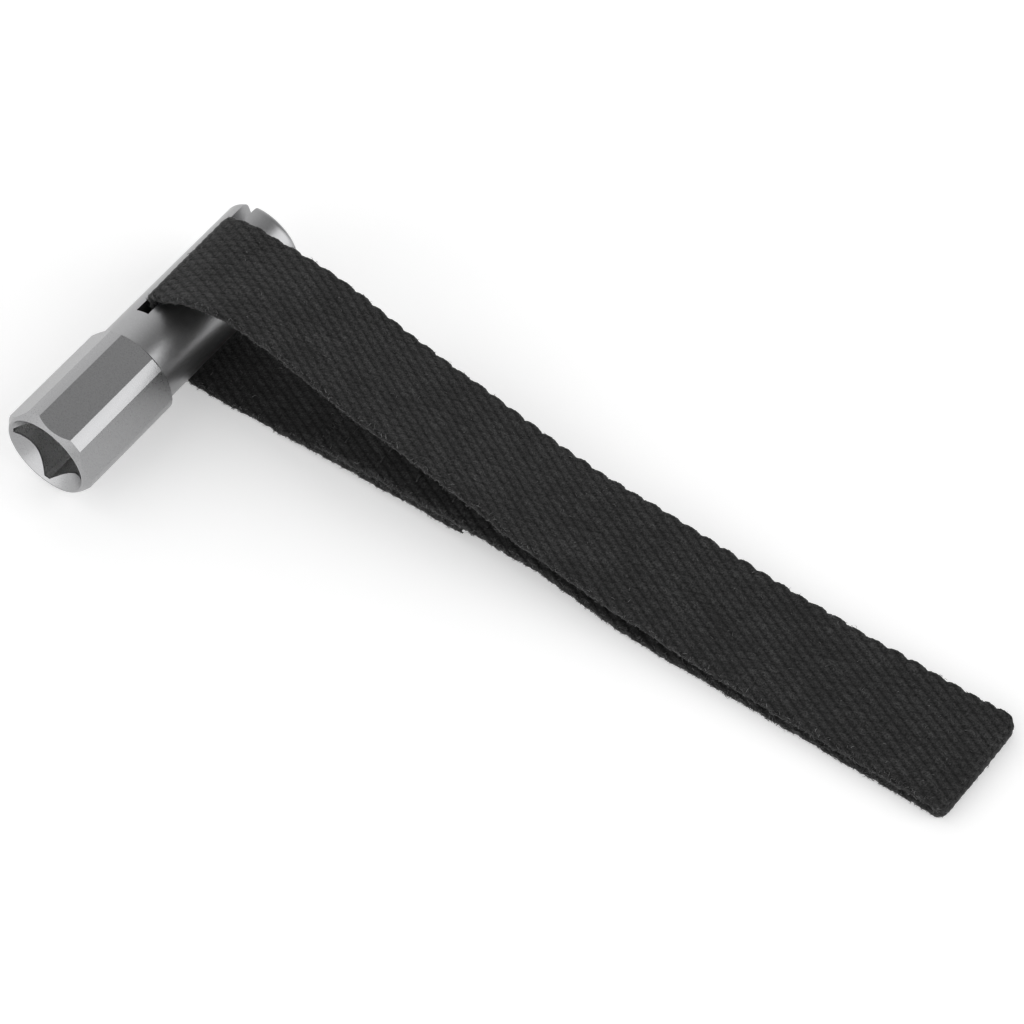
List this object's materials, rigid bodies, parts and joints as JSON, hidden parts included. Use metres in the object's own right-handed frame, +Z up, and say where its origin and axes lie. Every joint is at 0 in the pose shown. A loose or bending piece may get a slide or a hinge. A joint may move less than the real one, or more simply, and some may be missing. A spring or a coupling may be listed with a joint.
{
  "type": "strap wrench",
  "caption": "Strap wrench: a square-drive hex spindle with a slotted shaft that winds a loop of webbing around a filter or pipe fitting.",
  "frame": {"origin": "centre of the drive square at the drive face, on the spindle's axis", "axes": "+Y along the spindle's axis from the drive face to the slotted end; +X along the webbing loop, from the shaft to the fold; +Z up, away from the surface it lies on"},
  "size_m": [0.1923, 0.0683, 0.0267],
  "materials": {
    "plated_steel": "satin chrome plate, brighter on the hexagon",
    "webbing": "coarse woven black webbing",
    "thread": "bonded black thread"
  },
  "bodies": {
    "spindle": {"drive_spindle": "plated_steel", "webbing_slot_pass": "webbing"},
    "loop_root": {"webbing_lower_exit": "webbing"},
    "upper_near": {"webbing_upper_near": "webbing"},
    "upper_far": {"webbing_upper_far": "webbing", "webbing_fold": "webbing"},
    "lower_far": {"webbing_lower_far": "webbing"},
    "lower_near": {"webbing_lower_near": "webbing", "webbing_lap_end": "webbing", "lap_stitching": "thread"}
  },
  "joints": [
    {"name": "loop_swing", "type": "hinge", "parent": "spindle", "child": "loop_root", "pos_m": [0, 0.0486, 0], "axis": [0, -1, 0], "range_deg": [0, 60]},
    {"name": "loop_open", "type": "hinge", "parent": "loop_root", "child": "upper_near", "pos_m": [0, 0.0486, 0], "axis": [0, -1, 0], "range_deg": [0, 70]},
    {"name": "upper_bend", "type": "hinge", "parent": "upper_near", "child": "upper_far", "pos_m": [0.083, 0.0486, -0.0019], "axis": [0, -1, 0], "range_deg": [-70, 0]},
    {"name": "fold_bend", "type": "hinge", "parent": "upper_far", "child": "lower_far", "pos_m": [0.18, 0.0486, -0.0093], "axis": [0, -1, 0], "range_deg": [0, 70]},
    {"name": "lower_bend", "type": "hinge", "parent": "lower_far", "child": "lower_near", "pos_m": [0.097, 0.0486, -0.0074], "axis": [0, -1, 0], "range_deg": [-70, 0]}
  ],
  "couplings": [
    {"joint": "upper_bend", "follows": "loop_open", "ratio": -1},
    {"joint": "fold_bend", "follows": "loop_open", "ratio": 1},
    {"joint": "lower_bend", "follows": "loop_open", "ratio": -1}
  ]
}
